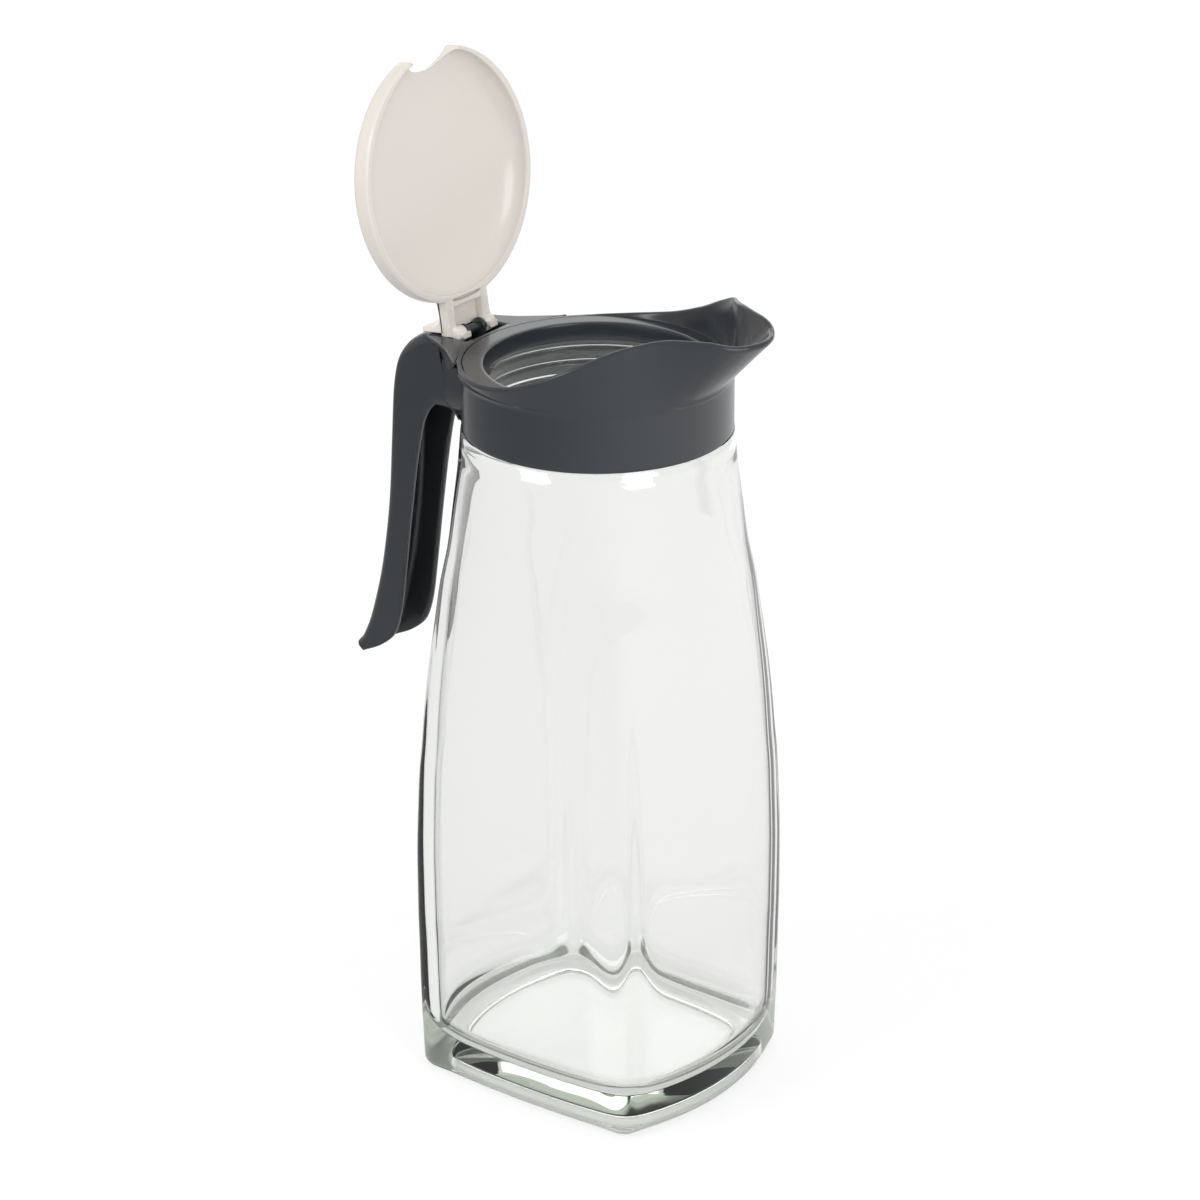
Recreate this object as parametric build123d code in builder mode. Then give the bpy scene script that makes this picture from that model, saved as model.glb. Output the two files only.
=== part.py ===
from build123d import *
from math import cos, sin, pi, radians, sqrt
import os

os.makedirs("parts", exist_ok=True)

# All sizes are millimetres. The origin is on the standing plane, in the middle of the base.
# The spout points along +X, the handle along -X, the lid hinge runs along Y, and Z is up.

# glass body, outside
corner_x = 43.9
corner_y = 45.4
bulge_x = 54.9
bulge_y = 47.4
base_reach = 62.4
bead_start_x = 45.5
bead_start_y = 41.2
bead_end_x = 39.6
bead_end_y = 45.5
base_edge_radius = 4.0
shoulder_top_z = 239.2
shoulder_top_radius = 46.3

# glass body, inside
wall = 3.0
floor_top_z = 12.0
floor_round = 7.0
push_up_scale = 0.78
push_up_depth = 3.0

# neck and screw seat
neck_outer_radius = 42.2
mouth_radius = 39.8
lip_z = 259.6
neck_inside_z = 243.0

# seal
seal_thickness = 0.8
seal_outer_radius = 43.3

# collar
skirt_outer_radius = 46.0
skirt_inner_radius = 43.8
skirt_bottom_z = 239.8
skirt_edge_round = 0.7
crease_z = 259.5
deck_z = 262.9
deck_bottom_z = lip_z + seal_thickness
rim_radius = 47.9
opening_radius = 38.3
plug_outer_radius = 39.4
plug_bottom_z = 256.3

# spout
spout_wall = 2.0
spout_root_x = 50.5
flank_angle = 52.0
spout_top_z = 292.0
spout_tip_x = 77.4
tip_half_width = 2.6

# handle
handle_half_width = 10.0
handle_wall = 2.2
handle_top_z = 262.5
handle_edge_round = 4.5
crown_start_x = -61.0
crown_end_x = -81.6
crown_end_z = 243.6
handle_back = [(-83.6, 222.0), (-85.6, 197.4), (-90.2, 171.9), (-97.0, 146.6), (-101.0, 137.8)]
handle_tip = (-97.4, 135.0)
handle_inside = [
    (-88.3, 140.4),
    (-82.2, 147.0),
    (-80.1, 155.7),
    (-77.6, 172.7),
    (-74.9, 192.3),
    (-71.0, 218.3),
    (-68.8, 228.3),
    (-65.0, 234.6),
    (-60.0, 236.5),
    (-54.0, 234.0),
]
side_wall_end_x = -54.8
web_half_width = 7.0
web_back_x = -61.8
web_front_x = -44.6

# hinge, lid drawn wide open on its stop
hinge_x = -53.7
hinge_z = 263.1
open_lean = 7.9
rod_radius = 1.5
rod_half_length = 11.0
rod_running_clearance = 0.05
recess_front_x = -47.2
recess_back_x = -59.6
recess_half_width = 12.6
recess_floor_z = 256.6
post_inner_y = 3.4
post_outer_y = 4.9
post_radius = 2.8

# lid, measured from the hinge axis along the lid and up through its dome
lid_centre = 54.05
lid_edge_height = 0.3
lid_radius = 43.9
lid_wall = 1.5
lid_skirt = 6.0
lid_dome = 6.5
lid_corner_round = 3.0
notch_half_width = 14.5
notch_depth = 6.0
eye_radius = 2.9
eye_inner_y = 5.3
leg_inner_y = 7.2
leg_outer_y = 11.2
arm_reach = 11.6
arm_web_start = 5.0
arm_plate_height = 3.2
arm_plate_thickness = 1.2
finger_length = 4.6
finger_outer_y = 9.3
finger_thickness = 2.6
tab_reach = 12.3
tab_start = 0.9
tab_thickness = 1.9


def blend_point(x, y, grow, circle_radius, roundness):
    """A base outline point grown by a factor and drawn towards a circle by the roundness."""
    length = sqrt(x * x + y * y)
    px = (1 - roundness) * grow * x + roundness * circle_radius * x / length
    py = (1 - roundness) * grow * y + roundness * circle_radius * y / length
    return (px, py)


def body_outline(reach, roundness):
    """Edges of one closed outline with four bulging faces and four corner beads."""
    grow = reach / base_reach
    right = blend_point(bulge_x, 0, grow, reach, roundness)
    top = blend_point(0, bulge_y, grow, reach, roundness)
    start = blend_point(bead_start_x, bead_start_y, grow, reach, roundness)
    tip = blend_point(corner_x, corner_y, grow, reach, roundness)
    end = blend_point(bead_end_x, bead_end_y, grow, reach, roundness)
    with BuildLine() as outline:
        ThreePointArc((start[0], -start[1]), right, start)
        ThreePointArc(start, tip, end)
        ThreePointArc(end, top, (-end[0], end[1]))
        ThreePointArc((-end[0], end[1]), (-tip[0], tip[1]), (-start[0], start[1]))
        ThreePointArc((-start[0], start[1]), (-right[0], 0), (-start[0], -start[1]))
        ThreePointArc((-start[0], -start[1]), (-tip[0], -tip[1]), (-end[0], -end[1]))
        ThreePointArc((-end[0], -end[1]), (0, -top[1]), (end[0], -end[1]))
        ThreePointArc((end[0], -end[1]), (tip[0], -tip[1]), (start[0], -start[1]))
    return outline.edges()


# height, reach towards a corner, roundness of the section
body_levels = [
    (base_edge_radius, 62.9, 0.0),
    (34.0, 63.8, 0.0),
    (81.0, 64.2, 0.06),
    (124.0, 62.0, 0.2),
    (162.0, 57.9, 0.42),
    (198.0, 51.4, 0.72),
    (220.0, 48.4, 0.92),
    (shoulder_top_z, shoulder_top_radius, 1.0),
]

# the rounded bottom edge, as angles round its quarter circle
edge_angles = [0, 22.5, 45, 67.5, 90]

# the same for the hollow, kept one wall inside
hollow_levels = [
    (floor_top_z + floor_round, 63.3, 0.0),
    (34.0, 63.8, 0.0),
    (81.0, 64.2, 0.06),
    (124.0, 62.0, 0.2),
    (162.0, 57.9, 0.42),
    (198.0, 51.4, 0.72),
    (220.0, 48.4, 0.92),
    (232.0, 46.3, 1.0),
    (neck_inside_z, mouth_radius + wall, 1.0),
]

with BuildPart() as glass_body:
    for height, reach, roundness in body_levels:
        with BuildSketch(Plane.XY.offset(height)):
            make_face(body_outline(reach, roundness))
    loft()
    for angle in edge_angles:
        rise = base_edge_radius * (1 - cos(radians(angle)))
        draw_in = base_edge_radius * (1 - sin(radians(angle)))
        with BuildSketch(Plane.XY.offset(rise)):
            make_face(body_outline(body_levels[0][1] - draw_in, 0.0))
    loft(ruled=True)
    with BuildSketch(Plane.XY.offset(shoulder_top_z)):
        Circle(neck_outer_radius)
    extrude(amount=lip_z - shoulder_top_z)
    for height, reach, roundness in hollow_levels:
        with BuildSketch(Plane.XY.offset(height)):
            make_face(body_outline(reach - wall, roundness))
    loft(mode=Mode.SUBTRACT)
    for angle in edge_angles:
        rise = floor_round * (1 - cos(radians(angle)))
        draw_in = wall + floor_round * (1 - sin(radians(angle)))
        with BuildSketch(Plane.XY.offset(floor_top_z + rise)):
            make_face(body_outline(hollow_levels[0][1] - draw_in, 0.0))
    loft(ruled=True, mode=Mode.SUBTRACT)
    with BuildSketch(Plane.XY.offset(neck_inside_z)):
        Circle(mouth_radius)
    extrude(amount=lip_z - neck_inside_z, mode=Mode.SUBTRACT)
    with BuildSketch(Plane.XY):
        make_face(body_outline(base_reach * push_up_scale, 0.0))
    extrude(amount=push_up_depth, taper=20, mode=Mode.SUBTRACT)

glass_body.part.label = "glass_body"
export_step(glass_body.part, "parts/glass_body.step")

with BuildPart() as neck_seal:
    with BuildSketch(Plane.XY.offset(lip_z)):
        Circle(seal_outer_radius)
        Circle(mouth_radius, mode=Mode.SUBTRACT)
    extrude(amount=seal_thickness)

neck_seal.part.label = "neck_seal"
export_step(neck_seal.part, "parts/neck_seal.step")


def ring_outline(radius, front_x):
    """Edges of a ring outline whose front may swell a little further than its radius."""
    half = radians(flank_angle)
    swell = front_x - radius
    flank = []
    for step in (0, 1, 2, 3, 4):
        turn = half * step / 4
        reach = radius + swell * cos(pi / 2 * step / 4) ** 2
        flank.append((reach * cos(turn), reach * sin(turn)))
    mirrored = [(x, -y) for x, y in reversed(flank)]
    with BuildLine() as outline:
        if swell > 0:
            Spline(*flank, tangents=[(0, 1), (-sin(half), cos(half))])
            Spline(*mirrored, tangents=[(sin(half), cos(half)), (0, 1)])
        else:
            ThreePointArc(flank[0], flank[2], flank[4])
            ThreePointArc(mirrored[0], mirrored[2], mirrored[4])
        ThreePointArc(flank[4], (-radius, 0), mirrored[0])
    return outline.edges()


def beak_outline(inset):
    """The outline of the rim seen from above, drawn in by the wall where an inset is given."""
    radius = rim_radius + 0.3 - inset
    half = radians(flank_angle)
    join = (radius * cos(half), radius * sin(half))
    flank = [(62.0 - inset, 15.0 - 0.85 * inset), (48.0 - 0.7 * inset, 22.0 - 0.9 * inset)]
    tip = (spout_tip_x - 1.3 * inset, 0)
    shoulder = (spout_tip_x - 5.5 - 1.2 * inset, 7.6 - 0.9 * inset)
    with BuildLine() as outline:
        Spline(tip, shoulder, *flank, join, tangents=[(0, 1), (-sin(half), cos(half))])
        ThreePointArc(join, (-radius, 0), (join[0], -join[1]))
        back = [(x, -y) for x, y in reversed(flank)]
        Spline(
            (join[0], -join[1]),
            *back,
            (shoulder[0], -shoulder[1]),
            tip,
            tangents=[(sin(half), cos(half)), (0, 1)],
        )
    return outline.edges()


# the rim seen from the side, as (x, z), from the tip backwards
rim_line = [
    (spout_tip_x + 4, 291.0),
    (74.1, 288.2),
    (68.2, 284.2),
    (60.3, 284.2),
    (52.4, 285.3),
    (46.3, 285.4),
    (36.4, 283.6),
    (22.5, 277.2),
    (10.0, 270.9),
    (-4.2, 265.9),
    (-20.3, 263.3),
    (-34.0, deck_z),
    (-52.0, deck_z - 0.2),
]

lean = radians(open_lean)
along_lid = (-sin(lean), 0, cos(lean))
through_dome = (-cos(lean), 0, -sin(lean))
hinge_point = (hinge_x, 0, hinge_z)
hinge_side = Plane(origin=hinge_point, x_dir=along_lid, z_dir=(0, -1, 0))

with BuildPart() as collar:
    # handle, solid first and rounded along its back
    with BuildSketch(Plane.XZ):
        with BuildLine():
            top_line = Line((web_front_x, handle_top_z), (crown_start_x, handle_top_z))
            crown = TangentArc(top_line @ 1, (crown_end_x, crown_end_z), tangent=(-1, 0))
            back_line = Spline(crown @ 1, *handle_back, tangents=[(-0.087, -0.996), (-0.45, -0.89)])
            tip_line = Line(back_line @ 1, handle_tip)
            inner_line = Spline(tip_line @ 1, *handle_inside)
            Polyline(
                inner_line @ 1,
                (side_wall_end_x, skirt_bottom_z),
                (web_front_x, skirt_bottom_z),
                top_line @ 0,
            )
        make_face()
    extrude(amount=handle_half_width, both=True)
    back_edges = collar.edges().filter_by(
        lambda e: abs(e.center().Y) > handle_half_width - 0.1
        and e.center().X < (crown_start_x + web_front_x) / 2
        and e.length > 5
        and (e.center().Z > crown_end_z or e.center().X < handle_back[1][0])
    )
    fillet(back_edges, radius=handle_edge_round)
    # channel, open towards the jug
    with BuildSketch(Plane.XZ):
        with BuildLine():
            roof_z = handle_top_z - handle_wall
            roof = Line((side_wall_end_x + 1, roof_z), (crown_start_x, roof_z))
            inner_crown = TangentArc(
                roof @ 1, (crown_end_x + handle_wall, crown_end_z), tangent=(-1, 0)
            )
            channel_back = [(x + handle_wall, z) for x, z in handle_back[:-1]]
            channel_line = Spline(inner_crown @ 1, *channel_back, tangents=[(-0.087, -0.996), (-0.35, -0.94)])
            Polyline(channel_line @ 1, (-70.0, 150.0), (-50.0, 230.0), roof @ 0)
        make_face()
    extrude(amount=handle_half_width - handle_wall, both=True, mode=Mode.SUBTRACT)

    # beside the web the side walls stop short of the skirt
    with BuildSketch(Plane.XY.offset(skirt_bottom_z - 10)):
        for side in (-1, 1):
            with Locations((side_wall_end_x / 2, side * (web_half_width + 10))):
                Rectangle(-side_wall_end_x, 20)
    extrude(amount=deck_z - skirt_bottom_z + 10, mode=Mode.SUBTRACT)
    # web, two ribs and a roof, closed behind by a wall across the channel
    web_mid_x = (web_front_x + web_back_x) / 2
    with BuildSketch(Plane.XY.offset(skirt_bottom_z)):
        with Locations((web_mid_x, 0)):
            Rectangle(web_front_x - web_back_x, 2 * web_half_width)
            Rectangle(
                web_front_x - web_back_x, 2 * (web_half_width - handle_wall), mode=Mode.SUBTRACT
            )
        with Locations((web_back_x + handle_wall / 2, 0)):
            Rectangle(handle_wall, 2 * handle_half_width - handle_wall)
    extrude(amount=recess_floor_z - skirt_bottom_z)
    with BuildSketch(Plane.XY.offset(recess_floor_z - handle_wall)):
        with Locations((web_mid_x, 0)):
            Rectangle(web_front_x - web_back_x, 2 * web_half_width)
        with Locations(((web_back_x + side_wall_end_x) / 2, 0)):
            Rectangle(side_wall_end_x - web_back_x, 2 * handle_half_width - handle_wall)
    extrude(amount=handle_wall)
    with BuildSketch(Plane.XY.offset(recess_floor_z)):
        with Locations((web_back_x + handle_wall / 2, 0)):
            Rectangle(handle_wall, 2 * handle_half_width - handle_wall)
    extrude(amount=handle_top_z - handle_wall - recess_floor_z)

    # spout, solid first, then hollowed one wall inside
    with BuildSketch(Plane.XY.offset(deck_z)):
        make_face(ring_outline(rim_radius, spout_root_x))
    with BuildSketch(Plane.XY.offset(spout_top_z)):
        make_face(beak_outline(0))
    loft(ruled=True)
    with BuildSketch(Plane.XY.offset(deck_z)):
        make_face(ring_outline(rim_radius - spout_wall, spout_root_x - 1.4 * spout_wall))
    with BuildSketch(Plane.XY.offset(spout_top_z)):
        make_face(beak_outline(spout_wall))
    loft(ruled=True, mode=Mode.SUBTRACT)
    # the rim line, cut across the whole width
    with BuildSketch(Plane.XZ):
        with BuildLine():
            rim = Spline(*rim_line)
            Polyline(rim @ 1, (-52, spout_top_z + 2), (90, spout_top_z + 2), rim @ 0)
        make_face()
    extrude(amount=60, both=True, mode=Mode.SUBTRACT)
    # skirt with its rounded lower edge
    with BuildSketch(Plane.XY.offset(skirt_bottom_z)):
        Circle(skirt_outer_radius)
    extrude(amount=crease_z - skirt_bottom_z)
    # flare from the crease up to the deck
    with BuildSketch(Plane.XY.offset(crease_z)):
        make_face(ring_outline(skirt_outer_radius, skirt_outer_radius))
    with BuildSketch(Plane.XY.offset(deck_z)):
        make_face(ring_outline(rim_radius, spout_root_x))
    loft(ruled=True)
    # room for the threaded neck, the opening and the plug lip round it
    with BuildSketch(Plane.XY.offset(skirt_bottom_z)):
        Circle(skirt_inner_radius)
    extrude(amount=deck_bottom_z - skirt_bottom_z, mode=Mode.SUBTRACT)
    with BuildSketch(Plane.XY.offset(plug_bottom_z)):
        Circle(plug_outer_radius)
    extrude(amount=deck_bottom_z - plug_bottom_z)
    with BuildSketch(Plane.XY.offset(plug_bottom_z)):
        Circle(opening_radius)
    extrude(amount=deck_z - plug_bottom_z, mode=Mode.SUBTRACT)
    # recess behind the deck, with two posts that carry the hinge rod
    with BuildSketch(Plane.XY.offset(recess_floor_z)):
        with Locations(((recess_front_x + recess_back_x) / 2, 0)):
            Rectangle(recess_front_x - recess_back_x, 2 * recess_half_width)
    extrude(amount=10, mode=Mode.SUBTRACT)
    with BuildSketch(Plane.XZ):
        with Locations((hinge_x, hinge_z)):
            Circle(post_radius)
        with Locations((hinge_x, (hinge_z + recess_floor_z) / 2 - 0.5)):
            Rectangle(2 * post_radius, hinge_z - recess_floor_z + 1)
    extrude(amount=post_outer_y, both=True)
    with BuildSketch(Plane.XZ):
        with Locations((hinge_x, (hinge_z + recess_floor_z) / 2 + 5)):
            Rectangle(2 * post_radius + 1, hinge_z - recess_floor_z + 10)
    extrude(amount=post_inner_y, both=True, mode=Mode.SUBTRACT)
    with BuildSketch(Plane.XZ):
        with Locations((hinge_x, hinge_z)):
            Circle(rod_radius)
    extrude(amount=rod_half_length, both=True)

collar.part.label = "collar"
export_step(collar.part, "parts/collar.step")

lid_axis = Axis(hinge_side.from_local_coords((lid_centre, 0, 0)), through_dome)
lid_front = Plane(
    origin=hinge_side.from_local_coords((lid_centre, 0, 0)), x_dir=(0, 1, 0), z_dir=along_lid
)
skirt_top = lid_edge_height + lid_skirt
dome_top = skirt_top + lid_dome
notch_radius = (notch_half_width**2 + notch_depth**2) / (2 * notch_depth)

with BuildPart() as lid:
    # skirt and shallow dome in one turned shell
    with BuildSketch(hinge_side):
        with BuildLine():
            rim_out = lid_centre + lid_radius
            rim_in = rim_out - lid_wall
            outside = TangentArc((lid_centre, dome_top), (rim_out, skirt_top), tangent=(1, 0))
            inside = TangentArc(
                (lid_centre, dome_top - lid_wall), (rim_in, skirt_top - lid_wall), tangent=(1, 0)
            )
            Polyline(
                outside @ 1, (rim_out, lid_edge_height), (rim_in, lid_edge_height), inside @ 1
            )
            Line(inside @ 0, outside @ 0)
        make_face()
    revolve(axis=lid_axis)
    # notch opposite the hinge, above the spout when shut
    with BuildSketch(lid_front):
        with Locations((0, lid_edge_height + notch_depth - notch_radius)):
            Circle(notch_radius)
    extrude(amount=2 * lid_radius, mode=Mode.SUBTRACT)
    # arm from the skirt to the rod
    with BuildSketch(hinge_side):
        with Locations((arm_reach / 2, arm_plate_height / 2 + lid_edge_height / 2)):
            Rectangle(arm_reach, arm_plate_height - lid_edge_height)
        Circle(eye_radius)
    extrude(amount=leg_outer_y, both=True)
    with BuildSketch(hinge_side):
        with Locations((arm_web_start - 10, 0)):
            Rectangle(20, 2 * arm_plate_height)
    extrude(amount=leg_inner_y, both=True, mode=Mode.SUBTRACT)
    with BuildSketch(hinge_side):
        with Locations((arm_reach / 2, arm_plate_height + arm_plate_thickness / 2)):
            Rectangle(arm_reach, arm_plate_thickness)
        with Locations((tab_start + tab_thickness / 2, (arm_plate_height + tab_reach) / 2)):
            Rectangle(tab_thickness, tab_reach - arm_plate_height)
    extrude(amount=leg_outer_y, both=True)
    with BuildSketch(hinge_side):
        Circle(eye_radius)
        with Locations((0, -finger_length / 2)):
            Rectangle(finger_thickness, finger_length)
    extrude(amount=finger_outer_y, both=True)
    with BuildSketch(hinge_side):
        Circle(post_radius + 0.4)
        with Locations((0, -finger_length)):
            Rectangle(2 * post_radius, 2 * finger_length)
    extrude(amount=eye_inner_y, both=True, mode=Mode.SUBTRACT)
    with BuildSketch(hinge_side):
        Circle(rod_radius + rod_running_clearance)
    extrude(amount=leg_outer_y, both=True, mode=Mode.SUBTRACT)

lid.part.label = "lid"
export_step(lid.part, "parts/lid.step")

for piece in (glass_body, neck_seal, collar, lid):
    print(piece.part.label, len(piece.part.solids()), round(piece.part.volume), piece.part.is_valid)
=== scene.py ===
from math import radians

import bmesh
import bpy
import numpy as np
from mathutils import Matrix, Vector


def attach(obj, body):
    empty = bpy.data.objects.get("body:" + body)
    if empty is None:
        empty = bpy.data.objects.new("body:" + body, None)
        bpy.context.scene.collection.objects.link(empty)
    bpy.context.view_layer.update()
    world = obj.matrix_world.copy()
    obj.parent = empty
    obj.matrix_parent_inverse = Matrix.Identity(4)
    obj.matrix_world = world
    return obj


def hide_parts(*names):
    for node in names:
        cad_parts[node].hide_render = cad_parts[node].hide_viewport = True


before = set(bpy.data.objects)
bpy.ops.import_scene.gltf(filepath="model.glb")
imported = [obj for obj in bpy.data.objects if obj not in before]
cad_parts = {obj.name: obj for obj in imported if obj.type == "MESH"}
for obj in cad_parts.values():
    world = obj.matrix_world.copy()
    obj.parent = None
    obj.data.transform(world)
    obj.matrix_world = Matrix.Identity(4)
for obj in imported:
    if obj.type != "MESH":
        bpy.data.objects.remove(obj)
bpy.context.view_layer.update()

MM = 0.001

# helpers


def add_mesh(name, points, faces, material, body, sharp=None):
    """One closed mesh from points in millimetres, riding on a body of the frame: its doubles are
    merged, its faces turned outwards, and edges over the sharp angle are shaded as edges."""
    build = bmesh.new()
    mesh = bpy.data.meshes.new(name)
    mesh.from_pydata((np.asarray(points) * MM).tolist(), [], faces)
    build.from_mesh(mesh)
    bmesh.ops.remove_doubles(build, verts=build.verts, dist=2e-6)
    bmesh.ops.recalc_face_normals(build, faces=build.faces)
    build.to_mesh(mesh)
    build.free()
    mesh.polygons.foreach_set("use_smooth", [True] * len(mesh.polygons))
    if sharp:
        mesh.set_sharp_from_angle(angle=radians(sharp))
    mesh.update()
    obj = bpy.data.objects.new(name, mesh)
    bpy.context.scene.collection.objects.link(obj)
    mesh.materials.append(material)
    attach(obj, body)
    return obj


def grid_faces(rows, cols, closed=False):
    """Quads of a grid of rows by cols points whose columns run round; closed joins the rows too."""
    i = np.arange(rows if closed else rows - 1)[:, None]
    j = np.arange(cols)[None, :]
    n = (i + 1) % rows
    k = (j + 1) % cols
    corners = (i * cols + j, i * cols + k, n * cols + k, n * cols + j)
    return np.stack(np.broadcast_arrays(*corners), -1).reshape(-1, 4)


def shell_of_rings(rings):
    """Closed surface from rings of equal length, with a pole of triangles at the first and the last."""
    rows, cols = rings.shape[:2]
    points = np.vstack([rings.reshape(-1, 3), rings[0].mean(0), rings[-1].mean(0)])
    low = rows * cols
    j = np.arange(cols)
    k = (j + 1) % cols
    top = (rows - 1) * cols
    first = np.column_stack([np.full(cols, low), k, j])
    last = np.column_stack([np.full(cols, low + 1), top + j, top + k])
    return points, grid_faces(rows, cols).tolist() + first.tolist() + last.tolist()


# materials


def principled(name):
    """A new material with its node tree and its principled shader."""
    material = bpy.data.materials.new(name)
    material.use_nodes = True
    return material, material.node_tree, material.node_tree.nodes["Principled BSDF"]


def glass_material(name, roughness):
    """Clear soda glass, faintly green where light runs a long way through it."""
    material, tree, bsdf = principled(name)
    bsdf.inputs["Base Color"].default_value = (0.985, 0.986, 0.983, 1)
    bsdf.inputs["Roughness"].default_value = roughness
    bsdf.inputs["IOR"].default_value = 1.5
    bsdf.inputs["Transmission Weight"].default_value = 1.0
    absorb = tree.nodes.new("ShaderNodeVolumeAbsorption")
    absorb.inputs["Color"].default_value = (0.55, 0.66, 0.5, 1)
    absorb.inputs["Density"].default_value = 9.0
    tree.links.new(absorb.outputs[0], tree.nodes["Material Output"].inputs["Volume"])
    return material


def moulded_plastic(name, color, roughness, ior, edge):
    """Glossy moulded plastic whose sharp edges catch the light as if rounded by a small radius."""
    material, tree, bsdf = principled(name)
    bsdf.inputs["Base Color"].default_value = (*color, 1)
    bsdf.inputs["Roughness"].default_value = roughness
    bsdf.inputs["IOR"].default_value = ior
    rounded = tree.nodes.new("ShaderNodeBevel")
    rounded.samples = 4
    rounded.inputs["Radius"].default_value = edge
    tree.links.new(rounded.outputs[0], bsdf.inputs["Normal"])
    return material


def seal_material():
    """Soft pale rubber of the ring seal."""
    material, _, bsdf = principled("seal")
    bsdf.inputs["Base Color"].default_value = (0.75, 0.75, 0.73, 1)
    bsdf.inputs["Roughness"].default_value = 0.6
    return material


GLASS = glass_material("clear_glass", 0.0)
STIPPLED = glass_material("stippled_glass", 0.45)
DARK = moulded_plastic("dark_plastic", (0.036, 0.041, 0.047), 0.2, 1.5, 0.0006)
WHITE = moulded_plastic("white_plastic", (0.9, 0.845, 0.785), 0.2, 1.48, 0.0005)
SEAL = seal_material()

for node, material in (("collar", DARK), ("lid", WHITE), ("neck_seal", SEAL)):
    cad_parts[node].data.materials.clear()
    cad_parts[node].data.materials.append(material)

# glass body

BASE_REACH = 62.4
SHOULDER_Z = 239.2
# reach that scales the body's section at each height, and how far from square to round it has turned
LEVELS_Z = np.array(
    [0, 4, 14, 22, 34, 50, 62, 81, 105, 116, 124, 139, 154, 169, 184, 198, 213, 228, SHOULDER_Z]
)
LEVELS_REACH = np.array(
    [62.6, 62.9, 63.2, 63.5, 63.8, 64.0, 64.2, 64.2, 63.4, 62.8]
    + [62.0, 60.7, 59.0, 56.8, 54.6, 51.6, 49.4, 47.3, 46.3]
)
ROUND_Z = np.array([0, 34, 81, 124, 162, 198, 220, 232, SHOULDER_Z])
ROUND_T = np.array([0, 0, 0.06, 0.2, 0.42, 0.72, 0.92, 1.0, 1.0])
CORNER = np.arctan2(45.4, 43.9)
LONG_ARC, LONG_REACH = 94.99, 54.9
WIDE_ARC, WIDE_REACH = 413.6, 47.4
# corner bead: height, width and distance from the axis
BEAD_HEIGHT, BEAD_WIDTH, BEAD_REACH = 1.7, 6.3, 62.0
# lengths over which the arcs blend at the outside corner, the inside corner and the floor's corner
CORNER_SOFT, INNER_SOFT, FLOOR_SOFT = 2.8, 4.2, 9.2
# underside: push-up, bearing band and rounded foot
PUSH_UP_Z, PUSH_UP_CROWN, PUSH_UP_INSET, PUSH_UP_SOFT = 3.0, 1.2, 12.5, 6.0
BAND_INSET = 10.5
FOOT_ROUND = 4.0
STIPPLE_TOP_Z = 2.6
# neck, lip and mouth
NECK_R, NECK_TOP_Z = 42.1, 258.6
RING_Z, RING_PITCH, RING_RISE = 243.0, 5.0, 0.75
LIP_R = 1.1
MOUTH_R, MOUTH_FOOT_Z = 39.9, 242.5
INNER_SHOULDER_R, INNER_SHOULDER_Z = 43.6, 232.0
# floor: top height, depth of its corner, and inset of the flat
FLOOR_Z, FLOOR_CORNER, FLOOR_CROWN, FLOOR_INSET = 12.0, 10.0, 1.6, 10.6
WALL_Z = [21, 60, 200, 229.5]
WALL_THICK = [3.2, 3.0, 3.2, 3.5]


def smooth_curve(xs, ys, x):
    """Monotone cubic through the given points, flat beyond both ends."""
    x = np.clip(np.asarray(x, float), xs[0], xs[-1])
    h = np.diff(xs)
    d = np.diff(ys) / h
    m = np.zeros(len(xs))
    m[0], m[-1] = d[0], d[-1]
    for i in range(1, len(xs) - 1):
        if d[i - 1] * d[i] > 0:
            w1, w2 = 2 * h[i] + h[i - 1], h[i] + 2 * h[i - 1]
            m[i] = (w1 + w2) / (w1 / d[i - 1] + w2 / d[i])
    i = np.clip(np.searchsorted(xs, x) - 1, 0, len(xs) - 2)
    t = (x - xs[i]) / h[i]
    a = (1 + 2 * t) * (1 - t) ** 2 * ys[i] + t * (1 - t) ** 2 * h[i] * m[i]
    return a + t**2 * (3 - 2 * t) * ys[i + 1] + t**2 * (t - 1) * h[i] * m[i + 1]


def base_radius(angle, soft):
    """Distance of the base outline from the axis: the smaller of two pairs of wide arcs, blended
    over the soft length where they meet at a corner."""
    c = np.abs(np.cos(angle))
    s = np.abs(np.sin(angle))
    long_centre = LONG_REACH - LONG_ARC
    wide_centre = WIDE_REACH - WIDE_ARC
    px = long_centre * c + np.sqrt(np.maximum(LONG_ARC**2 - (long_centre * s) ** 2, 0))
    py = wide_centre * s + np.sqrt(np.maximum(WIDE_ARC**2 - (wide_centre * c) ** 2, 0))
    return -np.log(np.exp(-px / soft) + np.exp(-py / soft)) * soft


def bead_rise(angle):
    """Share of the bead's height at each angle, a bell curve across each corner."""
    c = np.abs(np.cos(angle))
    s = np.abs(np.sin(angle))
    off = (np.arctan2(s, c) - CORNER) * BEAD_REACH
    return np.exp(-((off / BEAD_WIDTH) ** 2))


def section(angle, z, inset=0.0, bead=1.0, soft=CORNER_SOFT):
    """Points of the body outline at a height, drawn in by an inset measured square to the wall."""
    reach = smooth_curve(LEVELS_Z, LEVELS_REACH, z)
    t = smooth_curve(ROUND_Z, ROUND_T, z)
    r = (1 - t) * reach / BASE_REACH * base_radius(angle, soft) + t * reach
    r = r + bead * BEAD_HEIGHT * (1 - t) ** 1.5 * bead_rise(angle)
    x, y = r * np.cos(angle), r * np.sin(angle)
    dx = np.roll(x, -1) - np.roll(x, 1)
    dy = np.roll(y, -1) - np.roll(y, 1)
    n = np.hypot(dx, dy)
    return x - inset * dy / n, y + inset * dx / n


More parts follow.
